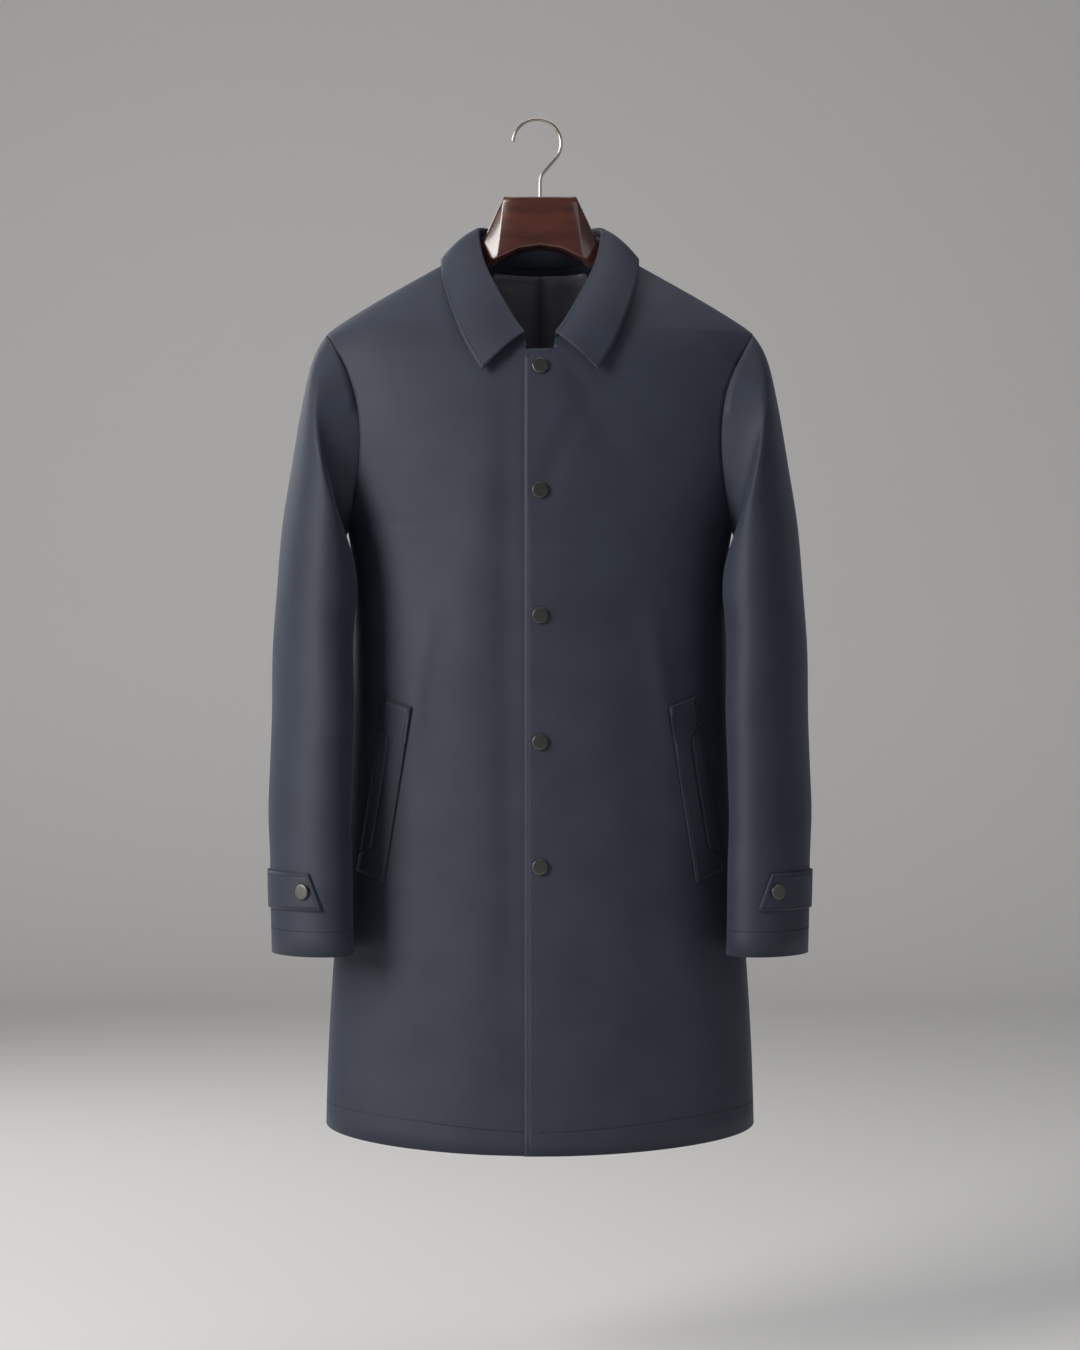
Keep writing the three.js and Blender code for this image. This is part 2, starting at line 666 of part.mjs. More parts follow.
// Directions at a station: down the fall, down the stand, and the two axes of the roll
function rollFrame(at, side) {
  const roll = linePoint('roll', at);
  const ahead = linePoint('roll', Math.min(endStation, at + 0.1));
  const along = ahead.sub(linePoint('roll', Math.max(0, at - 0.1))).normalize();
  if (at === 0) {
    along.set(1, 0, 0);
  }
  const square = (vector) => vector.addScaledVector(along, -vector.dot(along)).normalize();
  const fall = square(linePoint('edge', at).sub(roll));
  const stand = square(seamPoint(at, side).sub(roll));
  const down = fall.clone().add(stand).normalize();
  const out = fall.clone().addScaledVector(down, -fall.dot(down)).normalize();
  return { roll, fall, stand, down, out };
}

const standStations = collarStations.filter((at) => at <= standEnd);
const rollTurns = [0, 45, 90, 135, 180];
const fallShares = [1, 0.72, 0.45, 0.2];

// One section of the collar, from the outer edge over the roll to the inside, in from its face by inset
function collarSection(at, side, inset) {
  const { roll, stand, down, out } = rollFrame(at, side);
  const middle = roll.clone().addScaledVector(down, rollRadius);
  const radius = rollRadius - inset;
  const start = middle.clone().addScaledVector(out, radius);
  const edge = linePoint('edge', at);
  const along = edge.clone().sub(roll).normalize();
  const face = out.clone().addScaledVector(along, -out.dot(along)).normalize();
  const points = fallShares.map((share) => {
    const bulge = 3.5 * Math.sin(Math.PI * share) - inset;
    return roll.clone().addScaledVector(out, rollRadius).lerp(edge, share).addScaledVector(face, bulge);
  });
  for (const turn of rollTurns) {
    const point = middle.clone().addScaledVector(out, radius * Math.cos(turn * degree));
    points.push(point.addScaledVector(down, -radius * Math.sin(turn * degree)));
  }
  const length = Math.min(collarInside, 0.35 * seamPoint(at, side).distanceTo(roll));
  points.push(middle.clone().addScaledVector(out, -radius).addScaledVector(stand, length));
  points[fallShares.length].copy(start);
  return points;
}

// One section of the stand, from under the collar's inside to the neck seam
function standSection(at, side, inset) {
  const collarEnd = collarSection(at, side, inset).pop();
  const { stand, out } = rollFrame(at, side);
  const top = collarEnd.addScaledVector(stand, seamGap);
  const seam = seamPoint(at, side);
  const into = out.clone().negate();
  into.z = 0;
  into.normalize();
  const foot = seam.addScaledVector(into, seamGap + clothThickness - inset * 0.9);
  return [top, top.clone().lerp(foot, 0.5), foot];
}

function roundNeck(section, stations) {
  const left = stations.map((at) => section(at, 1));
  const right = stations.slice(1).map((at) => section(at, -1)).reverse();
  return [...onSide(right, -1), ...left];
}

const collarOuter = roundNeck((at, side) => collarSection(at, side, 0), collarStations);
const collarInner = roundNeck((at, side) => collarSection(at, side, collarThickness), collarStations);
addPiece('collar', sheetGeometry(collarOuter, collarInner), navyCloth);
const standOuter = roundNeck((at, side) => standSection(at, side, 0), standStations);
const standInner = roundNeck((at, side) => standSection(at, side, clothThickness), standStations);
addPiece('collar_stand', sheetGeometry(standOuter, standInner), navyCloth);

// The snap caps

const snapProfile = [
  [0, 0],
  [snapRadius - 0.4, 0],
  [snapRadius, 0.5],
  [snapRadius, snapHeight - 1],
  [snapRadius - 0.8, snapHeight - 0.2],
  [snapRadius - 2, snapHeight],
  [0, snapHeight],
].map(([x, y]) => new THREE.Vector2(x, y));

function addSnap(name, place, normal) {
  const geometry = new THREE.LatheGeometry(snapProfile, 20);
  const mesh = addPiece(name, geometry, gunmetal);
  mesh.quaternion.setFromUnitVectors(new THREE.Vector3(0, 1, 0), normal);
  mesh.position.copy(place);
}

snapZ.forEach((z, i) => {
  addSnap(`snap_${i + 1}`, frontPoint(0, z, 1, layerGap), formNormal(0, z));
});
for (const side of [1, -1]) {
  const ring = ringOfZ(cuffTab.snapZ);
  const place = sleevePoint(ring, cuffTab.snapAngle, tabLift + layerGap);
  const normal = place.clone().sub(sleevePoint(ring, cuffTab.snapAngle, 0)).normalize();
  place.x *= side;
  normal.x *= side;
  addSnap(side === 1 ? 'cuff_snap_left' : 'cuff_snap_right', place, normal);
}

// The hanger

const sectionPoints = 20;

function hangerRing(section) {
  const top = new THREE.Vector3(section.topX, 0, section.topZ);
  const bottom = new THREE.Vector3(section.bottomX, 0, section.bottomZ);
  const middle = top.clone().add(bottom).multiplyScalar(0.5);
  const up = top.clone().sub(middle);
  const soften = (value) => Math.sign(value) * Math.abs(value) ** section.square;
  return Array.from({ length: sectionPoints }, (_, i) => {
    const turn = (i + 0.5) / sectionPoints * 2 * Math.PI;
    const point = middle.clone().addScaledVector(up, soften(Math.sin(turn)));
    point.y += section.half * soften(Math.cos(turn));
    return point;
  });
}

const halfHanger = hangerSections.map(hangerRing);
const otherHalf = onSide(halfHanger.slice(1).reverse(), -1);
addPiece('hanger', loftGeometry([...otherHalf, ...halfHanger]), darkWood);

// The hook

const hookRadius = 26;
const hookCentre = { x: -3.3, z: -Math.sqrt((hookRadius - hookWire) ** 2 - 3.3 ** 2) };
const hookEnds = { tip: 176, shank: -42 };
const stemFoot = hangerSections[0].topZ + 0.3;

function hookPath() {
  const points = [];
  const steps = 26;
  for (let i = 0; i <= steps; i += 1) {
    const turn = lerp(hookEnds.tip, hookEnds.shank, i / steps) * degree;
    const x = hookCentre.x + hookRadius * Math.cos(turn);
    points.push(new THREE.Vector3(x, 0, hookCentre.z + hookRadius * Math.sin(turn)));
  }
  const elbow = new THREE.QuadraticBezierCurve3(
    new THREE.Vector3(5, 0, -54),
    new THREE.Vector3(0, 0, -59),
    new THREE.Vector3(0, 0, -66),
  );
  points.push(...elbow.getPoints(4));
  points.push(new THREE.Vector3(0, 0, -75));
  points.push(new THREE.Vector3(0, 0, stemFoot));
  return new THREE.CatmullRomCurve3(points, false, 'centripetal');
}

const wireSection = new THREE.Shape();
wireSection.absarc(0, 0, hookWire, 0, 2 * Math.PI, false);
const hookShape = { steps: 56, curveSegments: 5, bevelEnabled: false, extrudePath: hookPath() };
addPiece('hook', new THREE.ExtrudeGeometry(wireSection, hookShape), warmSteel);

export default coat;
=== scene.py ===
import math
import bmesh
import bpy
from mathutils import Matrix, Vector
from mathutils.bvhtree import BVHTree


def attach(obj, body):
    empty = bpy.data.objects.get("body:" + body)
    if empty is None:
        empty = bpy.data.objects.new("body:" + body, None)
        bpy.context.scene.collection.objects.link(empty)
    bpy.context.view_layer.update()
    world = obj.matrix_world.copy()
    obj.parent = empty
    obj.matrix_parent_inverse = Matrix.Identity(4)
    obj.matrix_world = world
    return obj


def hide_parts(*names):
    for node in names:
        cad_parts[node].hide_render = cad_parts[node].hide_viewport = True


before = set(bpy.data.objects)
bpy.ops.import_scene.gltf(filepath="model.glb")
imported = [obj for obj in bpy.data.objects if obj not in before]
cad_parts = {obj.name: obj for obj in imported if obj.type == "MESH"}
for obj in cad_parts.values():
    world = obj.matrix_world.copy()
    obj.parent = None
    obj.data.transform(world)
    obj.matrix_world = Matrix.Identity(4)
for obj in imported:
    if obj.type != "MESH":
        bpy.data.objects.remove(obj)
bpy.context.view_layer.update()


# Shader helpers

def newMaterial(name):
    material = bpy.data.materials.new(name)
    material.use_nodes = True
    nodes = material.node_tree.nodes
    return material, nodes, material.node_tree.links, nodes["Principled BSDF"]


def weaveGroup():  # fine diagonal ribs with a little unevenness, for the shell and the lining
    group = bpy.data.node_groups.new("twillWeave", "ShaderNodeTree")
    sockets = group.interface
    for label, kind, value in (("Scale", "NodeSocketFloat", 900.0), ("Slant", "NodeSocketFloat", 0.7),
                               ("Strength", "NodeSocketFloat", 0.2)):
        sockets.new_socket(label, in_out="INPUT", socket_type=kind).default_value = value
    sockets.new_socket("Normal", in_out="OUTPUT", socket_type="NodeSocketVector")
    sockets.new_socket("Mottle", in_out="OUTPUT", socket_type="NodeSocketFloat")
    nodes, links = group.nodes, group.links
    inputs, outputs = nodes.new("NodeGroupInput"), nodes.new("NodeGroupOutput")
    place = nodes.new("ShaderNodeTexCoord")
    parts = nodes.new("ShaderNodeSeparateXYZ")
    links.new(place.outputs["Object"], parts.inputs[0])
    lean = nodes.new("ShaderNodeMath")
    lean.operation = "MULTIPLY_ADD"  # x * slant + z
    links.new(parts.outputs["X"], lean.inputs[0])
    links.new(inputs.outputs["Slant"], lean.inputs[1])
    links.new(parts.outputs["Z"], lean.inputs[2])
    ribs = nodes.new("ShaderNodeMath")
    ribs.operation = "MULTIPLY"
    links.new(lean.outputs[0], ribs.inputs[0])
    links.new(inputs.outputs["Scale"], ribs.inputs[1])
    wave = nodes.new("ShaderNodeMath")
    wave.operation = "SINE"
    links.new(ribs.outputs[0], wave.inputs[0])
    fine = nodes.new("ShaderNodeTexNoise")
    fine.inputs["Scale"].default_value = 1400
    fine.inputs["Detail"].default_value = 3
    links.new(place.outputs["Object"], fine.inputs["Vector"])
    both = nodes.new("ShaderNodeMath")
    both.operation = "MULTIPLY_ADD"
    both.inputs[1].default_value = 0.4
    links.new(wave.outputs[0], both.inputs[0])
    links.new(fine.outputs["Fac"], both.inputs[2])
    bump = nodes.new("ShaderNodeBump")
    bump.inputs["Distance"].default_value = 0.0002
    links.new(inputs.outputs["Strength"], bump.inputs["Strength"])
    links.new(both.outputs[0], bump.inputs["Height"])
    links.new(bump.outputs["Normal"], outputs.inputs["Normal"])
    broad = nodes.new("ShaderNodeTexNoise")
    broad.inputs["Scale"].default_value = 18
    broad.inputs["Detail"].default_value = 5
    links.new(place.outputs["Object"], broad.inputs["Vector"])
    links.new(broad.outputs["Fac"], outputs.inputs["Mottle"])
    return group


weave = weaveGroup()
clothLooks = {
    "shell_cloth": dict(dark=(0.0185, 0.0235, 0.040), light=(0.027, 0.034, 0.055), rough=0.66, sheen=0.12,
                        scale=2600, slant=0.8, strength=0.22),
    # the lining's colours hold painted light: both ends are set lighter than the lining's own dark grey to make
    # up for the shade inside the neck, and the step between them is random mottle
    "lining": dict(dark=(0.20, 0.195, 0.225), light=(0.33, 0.32, 0.36), rough=0.3, sheen=0.1,
                   scale=5200, slant=0.0, strength=0.06),
    "stitch_thread": dict(dark=(0.008, 0.010, 0.018), light=(0.012, 0.015, 0.026), rough=0.6, sheen=0.2,
                          scale=9000, slant=1.0, strength=0.1),
}


def clothMaterial(name):
    look = clothLooks[name]
    material, nodes, links, shader = newMaterial(name)
    group = nodes.new("ShaderNodeGroup")
    group.node_tree = weave
    group.inputs["Scale"].default_value = look["scale"]
    group.inputs["Slant"].default_value = look["slant"]
    group.inputs["Strength"].default_value = look["strength"]
    ramp = nodes.new("ShaderNodeValToRGB")
    ramp.color_ramp.elements[0].position, ramp.color_ramp.elements[1].position = 0.25, 0.75
    ramp.color_ramp.elements[0].color = (*look["dark"], 1)
    ramp.color_ramp.elements[1].color = (*look["light"], 1)
    links.new(group.outputs["Mottle"], ramp.inputs["Fac"])
    links.new(ramp.outputs["Color"], shader.inputs["Base Color"])
    links.new(group.outputs["Normal"], shader.inputs["Normal"])
    shader.inputs["Roughness"].default_value = look["rough"]
    shader.inputs["Sheen Weight"].default_value = look["sheen"]
    shader.inputs["Sheen Roughness"].default_value = 0.4
    shader.inputs["Sheen Tint"].default_value = (0.55, 0.65, 0.9, 1)
    return material


def woodMaterial():
    material, nodes, links, shader = newMaterial("hanger_wood")
    place = nodes.new("ShaderNodeTexCoord")
    parts = nodes.new("ShaderNodeSeparateXYZ")
    links.new(place.outputs["Object"], parts.inputs[0])
    mirror = nodes.new("ShaderNodeMath")
    mirror.operation = "ABSOLUTE"  # the grain meets itself at the centre joint
    links.new(parts.outputs["X"], mirror.inputs[0])
    joined = nodes.new("ShaderNodeCombineXYZ")
    links.new(mirror.outputs[0], joined.inputs["X"])
    links.new(parts.outputs["Y"], joined.inputs["Y"])
    links.new(parts.outputs["Z"], joined.inputs["Z"])
    turned = nodes.new("ShaderNodeMapping")
    turned.inputs["Rotation"].default_value = (0, 0.9, 0)
    turned.inputs["Scale"].default_value = (9, 20, 34)
    links.new(joined.outputs[0], turned.inputs["Vector"])
    grain = nodes.new("ShaderNodeTexNoise")
    grain.inputs["Scale"].default_value = 1.6
    grain.inputs["Detail"].default_value = 9
    grain.inputs["Distortion"].default_value = 0.6
    links.new(turned.outputs[0], grain.inputs["Vector"])
    ramp = nodes.new("ShaderNodeValToRGB")
    ramp.color_ramp.elements[0].position, ramp.color_ramp.elements[1].position = 0.32, 0.7
    ramp.color_ramp.elements[0].color = (0.035, 0.0085, 0.0055, 1)
    ramp.color_ramp.elements[1].color = (0.105, 0.026, 0.015, 1)
    links.new(grain.outputs["Fac"], ramp.inputs["Fac"])
    links.new(ramp.outputs["Color"], shader.inputs["Base Color"])
    bump = nodes.new("ShaderNodeBump")
    bump.inputs["Distance"].default_value = 0.0002
    bump.inputs["Strength"].default_value = 0.15
    links.new(grain.outputs["Fac"], bump.inputs["Height"])
    links.new(bump.outputs["Normal"], shader.inputs["Normal"])
    shader.inputs["Roughness"].default_value = 0.26
    shader.inputs["Coat Weight"].default_value = 0.8
    shader.inputs["Coat Roughness"].default_value = 0.12
    return material


def metalMaterial(name, color, rough):
    material, nodes, links, shader = newMaterial(name)
    place = nodes.new("ShaderNodeTexCoord")
    noise = nodes.new("ShaderNodeTexNoise")
    noise.inputs["Scale"].default_value = 900
    noise.inputs["Detail"].default_value = 4
    links.new(place.outputs["Object"], noise.inputs["Vector"])
    spread = nodes.new("ShaderNodeMapRange")
    spread.inputs["To Min"].default_value = rough * 0.8
    spread.inputs["To Max"].default_value = rough * 1.25
    links.new(noise.outputs["Fac"], spread.inputs["Value"])
    links.new(spread.outputs["Result"], shader.inputs["Roughness"])
    shader.inputs["Base Color"].default_value = (*color, 1)
    shader.inputs["Metallic"].default_value = 1
    return material


looks = {name: clothMaterial(name) for name in clothLooks}
looks["hanger_wood"] = woodMaterial()
looks["snap_metal"] = metalMaterial("snap_metal", (0.13, 0.13, 0.115), 0.34)
looks["hook_steel"] = metalMaterial("hook_steel", (0.52, 0.46, 0.4), 0.24)
print("materials made")


# Soft creases, in metres: middle, half-length, half-width, height and lean
creases = [
    dict(x=-0.127, z=-0.60, long=0.07, wide=0.010, high=0.0022, lean=-0.17, face=-1),
    dict(x=0.127, z=-0.60, long=0.07, wide=0.010, high=0.0022, lean=0.17, face=-1),
    dict(x=0.024, z=-0.36, long=0.05, wide=0.014, high=-0.0016, lean=-0.45, face=-1),
    dict(x=-0.034, z=-0.62, long=0.30, wide=0.012, high=-0.0018, lean=0.005, face=-1),
    dict(x=0.045, z=-0.30, long=0.06, wide=0.016, high=-0.0016, lean=0.5, face=-1),
    dict(x=-0.075, z=-0.52, long=0.16, wide=0.03, high=0.0018, lean=-0.12, face=-1),
    dict(x=0.085, z=-0.78, long=0.22, wide=0.028, high=0.0016, lean=0.06, face=-1),
    dict(x=-0.05, z=-0.40, long=0.12, wide=0.02, high=0.002, lean=-0.2, face=1),
    dict(x=0.07, z=-0.55, long=0.2, wide=0.024, high=-0.0022, lean=0.1, face=1),
    dict(x=-0.09, z=-0.85, long=0.2, wide=0.026, high=0.002, lean=-0.05, face=1),
]


def creaseHeight(point):
    height = 0.0
    for crease in creases:
        if crease["face"] * point.y > 0.02:
            across = (point.x - crease["x"] - crease["lean"] * (crease["z"] - point.z)) / crease["wide"]
            along = (point.z - crease["z"]) / crease["long"]
            height += crease["high"] * math.exp(-across * across - along ** 4)
    return height


def sleeveCrease(point):  # gentle bends at the elbow and above the cuff
    wave = math.sin((point.z + 0.62) * 34 + point.y * 12) * math.exp(-((point.z + 0.60) / 0.13) ** 2)
    lower = math.sin((point.z + 0.76) * 52 - point.y * 16) * math.exp(-((point.z + 0.75) / 0.06) ** 2)
    return 0.0011 * wave + 0.0008 * lower


def underarmTuck(point):  # the sleeve closes against the side just under the armhole
    near = math.exp(-((point.z + 0.51) / 0.03) ** 2)
    inner = max(0.0, min(1.0, (0.235 - abs(point.x)) / 0.03))
    return 0.002 * near * inner


def smoothCopy(node, levels, creaseAngle):
    mesh = bpy.data.meshes.new(node + "_shell")
    work = bmesh.new()
    work.from_mesh(bpy.data.objects[node].data)
    work.transform(bpy.data.objects[node].matrix_world)
    bmesh.ops.remove_doubles(work, verts=work.verts, dist=0.000002)
    bmesh.ops.join_triangles(work, faces=work.faces, angle_face_threshold=math.radians(40),
                             angle_shape_threshold=math.radians(60))
    layer = work.edges.layers.float.get("crease_edge") or work.edges.layers.float.new("crease_edge")
    for edge in work.edges:
        if len(edge.link_faces) == 2 and edge.calc_face_angle(0) > math.radians(creaseAngle):
            edge[layer] = 1.0
    work.to_mesh(mesh)
    work.free()
    piece = bpy.data.objects.new(node + "_shell", mesh)
    bpy.context.scene.collection.objects.link(piece)
    if levels:
        subdivide = piece.modifiers.new("fine", "SUBSURF")
        subdivide.levels = subdivide.render_levels = levels
        fine = bpy.data.meshes.new_from_object(piece.evaluated_get(bpy.context.evaluated_depsgraph_get()))
        piece.modifiers.clear()
        piece.data = fine
    return piece


def relax(piece, rounds):  # evens out the fine cloth away from its edges
    work = bmesh.new()
    work.from_mesh(piece.data)
    rim = {v for e in work.edges if e.calc_face_angle(0) > math.radians(35) for v in e.verts}
    inside = [v for v in work.verts if v not in rim]
    for _ in range(rounds):
        bmesh.ops.smooth_vert(work, verts=inside, factor=0.5, use_axis_x=True, use_axis_y=True, use_axis_z=True)
    work.to_mesh(piece.data)
    work.free()


def finishPiece(piece, node, slot):
    piece.data.materials.clear()
    piece.data.materials.append(looks[slot])
    for polygon in piece.data.polygons:
        polygon.use_smooth = True
    piece.data.set_sharp_from_angle(angle=math.radians(48))
    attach(piece, "root")
    if node:
        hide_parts(node)


# Cloth pieces: the cut's flat size and area, in metres, and how finely each is made
clothPieces = {
    "front_left": dict(flat=(0.295, 0.96), area=0.240, levels=2),
    "front_right": dict(flat=(0.295, 0.96), area=0.240, levels=2),
    "back": dict(flat=(0.545, 0.965), area=0.450, levels=2),
    "sleeve_left": dict(flat=(0.385, 0.665), area=0.2045, levels=2),
    "sleeve_right": dict(flat=(0.385, 0.665), area=0.2045, levels=2),
    "collar": dict(flat=(0.58, 0.09), area=0.037, levels=2),
    "collar_stand": dict(flat=(0.30, 0.036), area=0.0060, levels=1),
    "cuff_tab_left": dict(flat=(0.14, 0.039), area=0.0050, levels=1),
    "cuff_tab_right": dict(flat=(0.14, 0.039), area=0.0050, levels=1),
    "pocket_welt_left": dict(flat=(0.033, 0.19), area=0.0049, levels=1),
    "pocket_welt_right": dict(flat=(0.033, 0.19), area=0.0049, levels=1),
    "pocket_jet_left": dict(flat=(0.016, 0.14), area=0.0020, levels=1),
    "pocket_jet_right": dict(flat=(0.016, 0.14), area=0.0020, levels=1),
    "lining_left": dict(flat=(0.075, 0.15), area=0.0098, levels=2),
    "lining_right": dict(flat=(0.075, 0.15), area=0.0098, levels=2),
}
shells = {}
for node, cut in clothPieces.items():
    piece = smoothCopy(node, cut["levels"], 50)
    isSleeve = node.startswith("sleeve")
    if cut["levels"] == 2 and not node.startswith(("lining", "collar")):
        relax(piece, 8)
    for vertex in piece.data.vertices:
        point = vertex.co
        if isSleeve:
            side = 1 if point.x > 0 else -1
            vertex.co.x += side * (sleeveCrease(point) - underarmTuck(point))
        elif node.startswith("lining"):
            tuck = math.exp((point.z + 0.155) / 0.02) if point.z < -0.155 else 1.0
            vertex.co.y -= 0.0012 * tuck * (math.sin(point.x * 900) + 0.6 * math.sin(point.x * 1530 + 1))
        elif not node.startswith(("collar", "cuff")):
            vertex.co.y += creaseHeight(point) * (-1 if point.y < 0 else 1)
    finishPiece(piece, node, "lining" if node.startswith("lining") else "shell_cloth")
    shells[node] = piece
print("cloth made")

hardPieces = {"hanger": ("hanger_wood", 0), "hook": ("hook_steel", 1)}
hardPieces.update({node: ("snap_metal", 2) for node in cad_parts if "snap" in node})
for node, (slot, levels) in hardPieces.items():
    piece = smoothCopy(node, levels, 30 if levels == 2 else 60)
    for vertex in piece.data.vertices:
        if node in ("snap_1", "snap_2", "snap_3", "snap_4", "snap_5"):
            vertex.co.y -= creaseHeight(vertex.co)
    finishPiece(piece, node, slot)
print("hard pieces made")


# Stitches, as short threads along paths laid on the cloth

def stitchTree():
    tree = bpy.data.node_groups.new("stitchRow", "GeometryNodeTree")
    sockets = tree.interface
    sockets.new_socket("Geometry", in_out="INPUT", socket_type="NodeSocketGeometry")
    for label, value in (("Pitch", 0.0032), ("Length", 0.0020), ("Thickness", 0.00042)):
        sockets.new_socket(label, in_out="INPUT", socket_type="NodeSocketFloat").default_value = value
    sockets.new_socket("Thread", in_out="INPUT", socket_type="NodeSocketMaterial")
    sockets.new_socket("Geometry", in_out="OUTPUT", socket_type="NodeSocketGeometry")
    nodes, links = tree.nodes, tree.links
    inputs, outputs = nodes.new("NodeGroupInput"), nodes.new("NodeGroupOutput")
    curve = nodes.new("GeometryNodeMeshToCurve")
    links.new(inputs.outputs["Geometry"], curve.inputs[0])
    even = nodes.new("GeometryNodeResampleCurve")
    even.mode = "LENGTH"
    links.new(curve.outputs[0], even.inputs["Curve"])
    links.new(inputs.outputs["Pitch"], even.inputs["Length"])
    thread = nodes.new("GeometryNodeMeshCylinder")
    thread.inputs["Vertices"].default_value = 5
    links.new(inputs.outputs["Thickness"], thread.inputs["Radius"])
    links.new(inputs.outputs["Length"], thread.inputs["Depth"])
    tangent = nodes.new("GeometryNodeInputTangent")
    turn = nodes.new("FunctionNodeAlignEulerToVector")
    turn.axis = "Z"
    links.new(tangent.outputs[0], turn.inputs["Vector"])
    copies = nodes.new("GeometryNodeInstanceOnPoints")
    links.new(even.outputs[0], copies.inputs["Points"])
    links.new(thread.outputs["Mesh"], copies.inputs["Instance"])
    links.new(turn.outputs[0], copies.inputs["Rotation"])
    real = nodes.new("GeometryNodeRealizeInstances")
    links.new(copies.outputs[0], real.inputs[0])
    paint = nodes.new("GeometryNodeSetMaterial")
    links.new(real.outputs[0], paint.inputs["Geometry"])
    links.new(inputs.outputs["Thread"], paint.inputs["Material"])
    links.new(paint.outputs[0], outputs.inputs[0])
    return tree


stitches = stitchTree()
trees = {name: BVHTree.FromObject(shells[name], bpy.context.evaluated_depsgraph_get()) for name in shells}


def lay(names, start, towards):  # where a ray first meets the named pieces
    best = None
    for name in names:
        hit = trees[name].ray_cast(Vector(start), Vector(towards).normalized())
        if hit[0] is not None and (best is None or hit[3] < best[1]):
            best = (hit[0], hit[3])
    return best[0] - Vector(towards).normalized() * 0.00012 if best else None


def stitchPiece(name, paths):
    mesh = bpy.data.meshes.new(name)
    points, edges = [], []
    for path in paths:
        previous = None
        for point in path:
            if point is None or previous is not None and (point - points[previous]).length > 0.02:
                previous = None
            if point is not None:
                points.append(point)
                if previous is not None:
                    edges.append((previous, len(points) - 1))
                previous = len(points) - 1
    mesh.from_pydata(points, edges, [])
    piece = bpy.data.objects.new(name, mesh)
    bpy.context.scene.collection.objects.link(piece)
    row = piece.modifiers.new("row", "NODES")
    row.node_group = stitches
    thread = next(item for item in stitches.interface.items_tree if item.name == "Thread")
    row[thread.identifier] = looks["stitch_thread"]
    made = bpy.data.meshes.new_from_object(piece.evaluated_get(bpy.context.evaluated_depsgraph_get()))
    piece.modifiers.clear()
    piece.data = made
    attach(piece, "root")


def between(first, last, count):
    return [tuple(a + (b - a) * i / count for a, b in zip(first, last)) for i in range(count + 1)]


def frontPath(names, corners, count=60):
    path = []
    for first, last in zip(corners, corners[1:]):
        path += [lay(names, (x, -0.3, z), (0, 1, 0)) for x, z in between(first, last, count)]
    return path


def hemPath(names, side, rise, face):
    path = []
    for i in range(90):
        turn = i / 89 * math.pi / 2
        outward = Vector((side * math.sin(turn), face * math.cos(turn), 0))
        low = -1.081 - (0.017 * math.cos(turn) ** 1.3 if face < 0 else 0.005 * math.cos(turn))
        path.append(lay(names, outward * 0.4 + Vector((0, 0, low + rise)), -outward))
    return path


placket = dict(edge=-0.0165, inset=0.0035, top=-0.2585, foot=-1.094)
stitchPiece("placket_stitches", [frontPath(
    ["front_left"],
    [(0.0102, -0.241), (0.0102, -0.2585), (placket["edge"] + 0.006, placket["top"]),
     (placket["edge"] + placket["inset"], placket["top"] - 0.004),
     (placket["edge"] + placket["inset"], placket["foot"])], 160)])
stitchPiece("hem_stitches", [
    hemPath(["front_left"], 1, 0.025, -1), hemPath(["front_right"], -1, 0.025, -1),
    hemPath(["back"], 1, 0.025, 1), hemPath(["back"], -1, 0.025, 1)])


def pocketPath(side, across, downs):
    path = []
    names = ["pocket_welt_" + ("left" if side > 0 else "right"), "front_" + ("left" if side > 0 else "right")]
    for down in downs:
        x = 0.164 + (0.1345 - 0.164) * across + 0.03 * down
        z = -0.621 + (-0.6315 + 0.621) * across - 0.185 * down
        path.append(lay(names, (side * x, -0.3, z), (0, 1, 0)))
    return path


along = [0.012 + 0.976 * i / 80 for i in range(81)]
cut = [0.21 + 0.64 * i / 60 for i in range(61)]
pocketRows = []
for side in (1, -1):
    pocketRows += [pocketPath(side, 0.97, along), pocketPath(side, 0.86, along), pocketPath(side, 0.49, cut)]
    for down in (0.012, 0.988):
        pocketRows.append([pocketPath(side, share / 20, [down])[0] for share in range(1, 20)])
stitchPiece("pocket_stitches", pocketRows)


def cuffPath(side, z, shift=0.0):
    path = []
    middle = Vector((side * 0.2405, -0.074 - shift, z))
    for i in range(121):
        turn = 2 * math.pi * i / 120
        outward = Vector((math.cos(turn), math.sin(turn), 0))
        path.append(lay(["sleeve_left" if side > 0 else "sleeve_right"], middle + outward * 0.2, -outward))
    return path


stitchPiece("cuff_stitches", [cuffPath(1, -0.864), cuffPath(-1, -0.864)])


def collarPath(side):
    corners = [(side * 0.104, -0.170), (side * 0.0985, -0.187), (side * 0.093, -0.205), (side * 0.0865, -0.223),
               (side * 0.075, -0.248), (side * 0.0605, -0.2735), (side * 0.0195, -0.2395)]
    return frontPath(["collar"], corners, 30)


stitchPiece("collar_stitches", [collarPath(1), collarPath(-1)])


def tabPath(side):
    names = ["cuff_tab_left" if side > 0 else "cuff_tab_right"]
    corners = [(0.286, -0.807), (0.242, -0.807), (0.2315, -0.840), (0.286, -0.840)]
    path = []
    for first, last in zip(corners, corners[1:]):
        path += [lay(names, (side * x, -0.3, z), (0, 1, 0)) for x, z in between(first, last, 30)]
    return path


stitchPiece("tab_stitches", [tabPath(1), tabPath(-1)])
print("stitches made")


# Stage, lights and camera

stageLook = dict(floorZ=-1.36, wallY=4.2, wide=9.0, color=(0.80, 0.79, 0.77))


def stageMaterial():
    material, nodes, links, shader = newMaterial("pale_stage")
    shader.inputs["Base Color"].default_value = (*stageLook["color"], 1)
    shader.inputs["Roughness"].default_value = 0.85
    return material


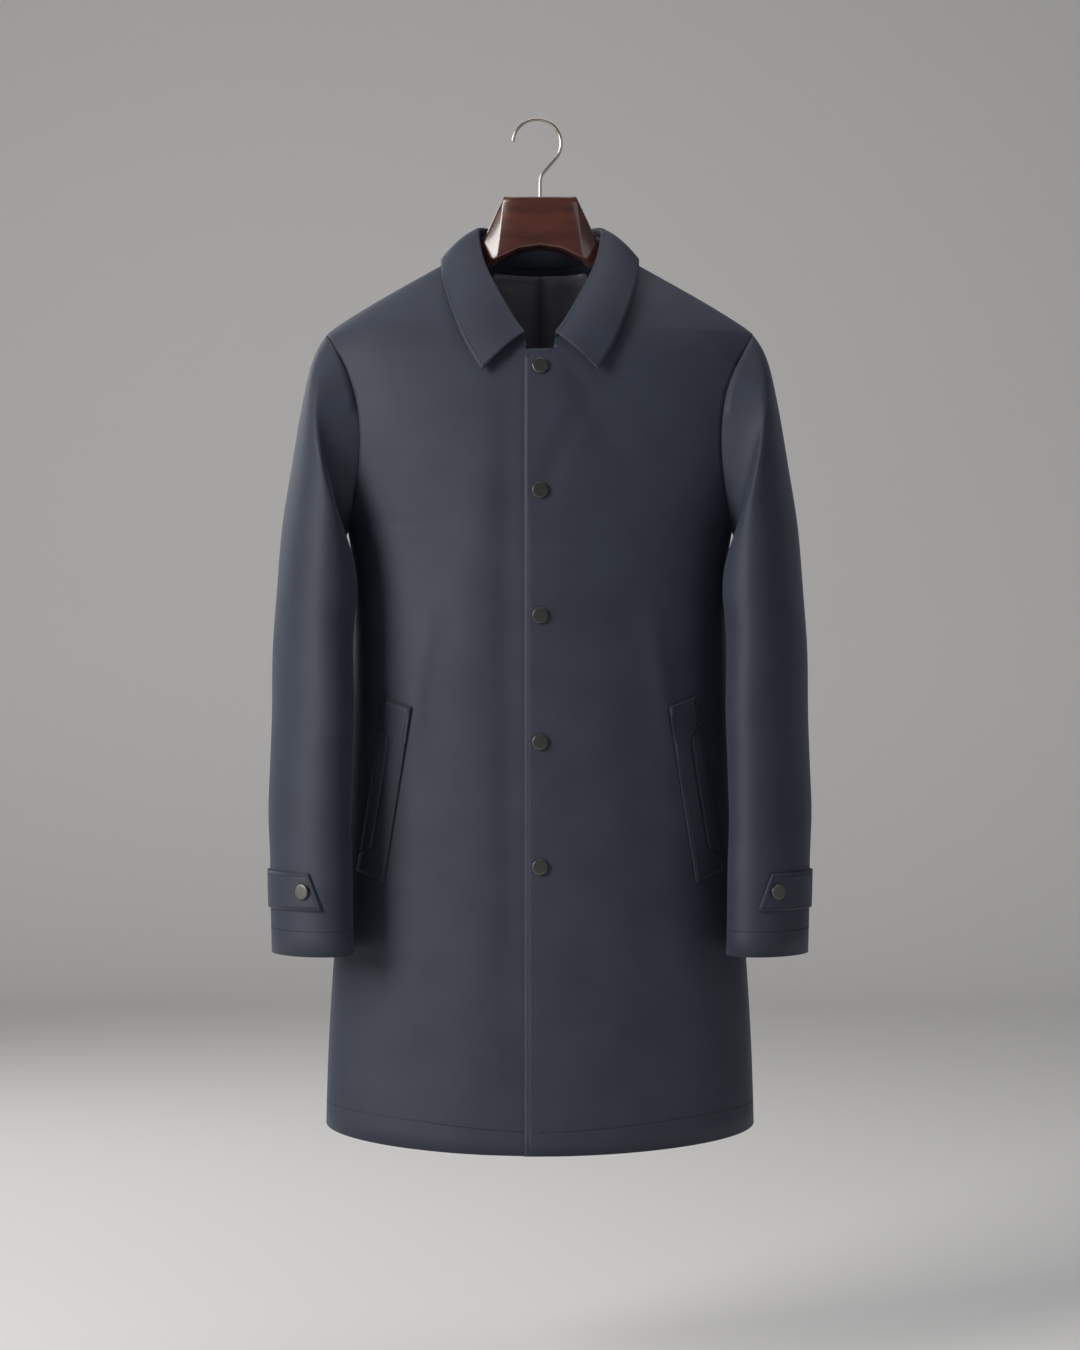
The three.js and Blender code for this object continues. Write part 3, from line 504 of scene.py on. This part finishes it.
pale = stageMaterial()
stageMesh = bpy.data.meshes.new("stage")
half, floorZ, wallY = stageLook["wide"] / 2, stageLook["floorZ"], stageLook["wallY"]
profile = [(-half, floorZ), (wallY - 0.8, floorZ)]
for i in range(1, 13):
    turn = i / 12 * math.pi / 2
    profile.append((wallY - 0.8 + 0.8 * math.sin(turn), floorZ + 0.8 - 0.8 * math.cos(turn)))
profile.append((wallY, floorZ + 5))
stagePoints = [(x, y, z) for y, z in profile for x in (-half, half)]
stageFaces = [(2 * i, 2 * i + 1, 2 * i + 3, 2 * i + 2) for i in range(len(profile) - 1)]
stageMesh.from_pydata(stagePoints, [], stageFaces)
stageMesh.materials.append(pale)
for polygon in stageMesh.polygons:
    polygon.use_smooth = True
stage = bpy.data.objects.new("stage", stageMesh)
bpy.context.scene.collection.objects.link(stage)


def areaLight(name, place, target, size, power, color=(1, 1, 1)):
    lamp = bpy.data.lights.new(name, "AREA")
    lamp.shape = "RECTANGLE"
    lamp.size, lamp.size_y = size
    lamp.energy = power
    lamp.color = color
    light = bpy.data.objects.new(name, lamp)
    light.location = place
    light.rotation_euler = (Vector(target) - Vector(place)).to_track_quat("-Z", "Y").to_euler()
    bpy.context.scene.collection.objects.link(light)


areaLight("key", (-2.6, -1.9, 0.5), (0, 0, -0.55), (1.3, 2.0), 96, (1.0, 0.98, 0.95))
areaLight("fill", (2.6, -2.6, 0.2), (0, 0, -0.6), (1.6, 2.0), 9, (0.94, 0.97, 1.0))
areaLight("top", (0, 0.3, 2.2), (0, 0.2, -0.6), (2.4, 1.6), 24)
areaLight("behind", (-1.4, 1.7, 0.6), (0, 0, -0.5), (0.8, 1.6), 16)

world = bpy.data.worlds.new("studio")
world.use_nodes = True
world.node_tree.nodes["Background"].inputs["Color"].default_value = (0.9, 0.92, 1.0, 1)
world.node_tree.nodes["Background"].inputs["Strength"].default_value = 0.16
bpy.context.scene.world = world
bpy.context.scene.view_settings.view_transform = "Standard"

cameraData = bpy.data.cameras.new("camera")
cameraData.sensor_width = 36
cameraData.lens = 74.07
camera = bpy.data.objects.new("camera", cameraData)
camera.location = (0, -3.0, -0.598)
camera.rotation_euler = (math.pi / 2, 0, 0)
bpy.context.scene.collection.objects.link(camera)
bpy.context.scene.camera = camera
print("stage made")
